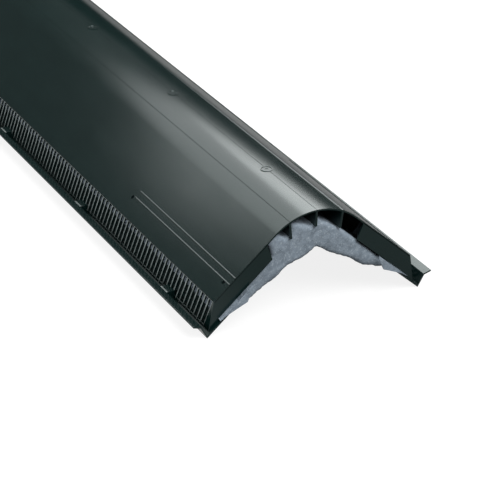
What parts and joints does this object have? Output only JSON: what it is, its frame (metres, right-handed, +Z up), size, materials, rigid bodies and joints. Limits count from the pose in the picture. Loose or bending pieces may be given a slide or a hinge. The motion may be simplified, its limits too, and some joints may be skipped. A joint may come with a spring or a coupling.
{
  "type": "ridge vent",
  "caption": "Length of shingle-over ridge vent: arched black plastic cover with slotted louvre walls, wind baffles and nail holes, over a grey fibre weather filter.",
  "frame": {"origin": "bottom centre, midway between the two base strips and the two ends", "axes": "X across the ridge, +Y along the ridge away from the end that the picture shows, +Z up"},
  "size_m": [0.2938, 1.2192, 0.1219],
  "materials": {
    "cover_plastic": "satin moulded polypropylene",
    "filter_fibre": "loose bonded glass fibre"
  },
  "bodies": {
    "root": {"vent_cover": "cover_plastic", "filter_mat": "filter_fibre"}
  },
  "joints": []
}
